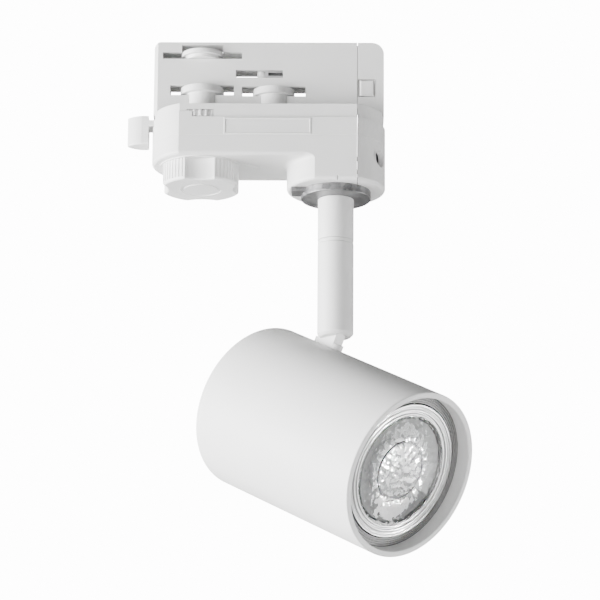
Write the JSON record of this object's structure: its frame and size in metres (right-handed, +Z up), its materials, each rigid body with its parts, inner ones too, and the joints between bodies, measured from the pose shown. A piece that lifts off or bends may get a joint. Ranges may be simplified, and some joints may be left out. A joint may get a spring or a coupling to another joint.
{
  "type": "track spotlight",
  "caption": "White cylindrical lamp head on a pan-and-tilt stem under a three-circuit track adapter with a locking lever and a circuit selector knob.",
  "frame": {"origin": "centre of the adapter flange's top face, which meets the underside of the track", "axes": "+Z up into the track, +X along the track from the selector knob to the stem, -Y towards the side with the latch button"},
  "size_m": [0.128, 0.0984, 0.1988],
  "materials": {
    "housing_plastic": "satin moulded white",
    "lever_plastic": "satin moulded white",
    "knob_plastic": "smooth moulded white",
    "galvanised_steel": "galvanised sheet",
    "zinc_steel": "bright zinc plated",
    "contact_brass": "bright",
    "stem_paint": "satin white powder coat",
    "head_paint": "fine textured white powder coat",
    "baffle_grey": "moulded grey",
    "holder_ceramic": "glazed",
    "terminal_plastic": "moulded",
    "lamp_body": "smooth grey",
    "lamp_glass": "clear patterned",
    "lamp_mirror": "facetted bright",
    "led_plate": "white coated"
  },
  "bodies": {
    "adapter": {"upper_housing_front": "housing_plastic", "upper_housing_back": "housing_plastic", "flange_plate": "housing_plastic", "middle_housing": "housing_plastic", "bottom_cover": "housing_plastic", "end_cap": "housing_plastic", "housing_screws": "zinc_steel", "cap_screws": "zinc_steel", "contact_post": "lever_plastic", "neutral_contact": "zinc_steel", "terminal_block": "terminal_plastic", "terminal_screws": "zinc_steel", "latch_spring": "zinc_steel", "mounting_disc": "galvanised_steel", "nipple": "zinc_steel", "lock_washer": "galvanised_steel", "lock_nut": "zinc_steel", "upper_stem": "stem_paint", "swivel_ring": "stem_paint", "pan_stop_pin": "zinc_steel"},
    "lever": {"lock_lever": "lever_plastic", "left_lock_cam": "lever_plastic"},
    "link": {"link_bar": "lever_plastic"},
    "cam": {"right_lock_cam": "lever_plastic"},
    "selector": {"selector_knob": "knob_plastic", "selector_shaft": "knob_plastic", "contact_carrier": "lever_plastic", "phase_contact": "contact_brass"},
    "latch": {"latch_button": "housing_plastic"},
    "stem": {"swivel_bush": "zinc_steel", "lower_stem": "stem_paint", "pivot_pin": "zinc_steel"},
    "head": {"tilt_bracket": "stem_paint", "head_shell": "head_paint", "baffle_ring": "baffle_grey", "holder_bracket": "galvanised_steel", "stud_nut": "zinc_steel", "holder_screws": "zinc_steel", "lampholder": "holder_ceramic"},
    "lamp": {"lamp_shell": "lamp_body", "lamp_rim": "lamp_body", "lamp_lens": "lamp_glass", "lamp_reflector": "lamp_mirror", "lamp_optic": "lamp_glass", "led_board": "led_plate", "lamp_pins": "contact_brass"}
  },
  "joints": [
    {"name": "lever_turn", "type": "hinge", "parent": "adapter", "child": "lever", "pos_m": [-0.0252, 0, -0.004], "axis": [0, 0, -1], "range_deg": [0, 90]},
    {"name": "link_swing", "type": "hinge", "parent": "lever", "child": "link", "pos_m": [-0.03015, 0.00495, -0.006], "axis": [0, 0, -1], "range_deg": [-90, 0]},
    {"name": "cam_turn", "type": "hinge", "parent": "adapter", "child": "cam", "pos_m": [0.0017, 0, -0.004], "axis": [0, 0, -1], "range_deg": [0, 90]},
    {"name": "selector_turn", "type": "hinge", "parent": "adapter", "child": "selector", "pos_m": [-0.0252, 0, -0.02], "axis": [0, 0, -1], "range_deg": [0, 270]},
    {"name": "latch_press", "type": "slide", "parent": "adapter", "child": "latch", "axis": [0, 1, 0], "range_m": [0, 0.0014], "stiffness_N_per_m": 400, "springref_m": -0.0005, "deforming": ["latch_spring"]},
    {"name": "pan", "type": "hinge", "parent": "adapter", "child": "stem", "pos_m": [0.0252, 0, -0.04845], "axis": [0, 0, 1], "range_deg": [-170, 170]},
    {"name": "tilt", "type": "hinge", "parent": "stem", "child": "head", "pos_m": [0.0252, 0, -0.0811], "axis": [0.6587, 0.7524, 0], "range_deg": [-26.6, 63.4]},
    {"name": "lamp_twist", "type": "hinge", "parent": "head", "child": "lamp", "pos_m": [0.01206, 0.0115, -0.11597], "axis": [0.6728, -0.589, -0.4478], "range_deg": [0, 25]}
  ],
  "couplings": [
    {"joint": "link_swing", "follows": "lever_turn", "ratio": -1},
    {"joint": "cam_turn", "follows": "lever_turn", "ratio": 1}
  ]
}
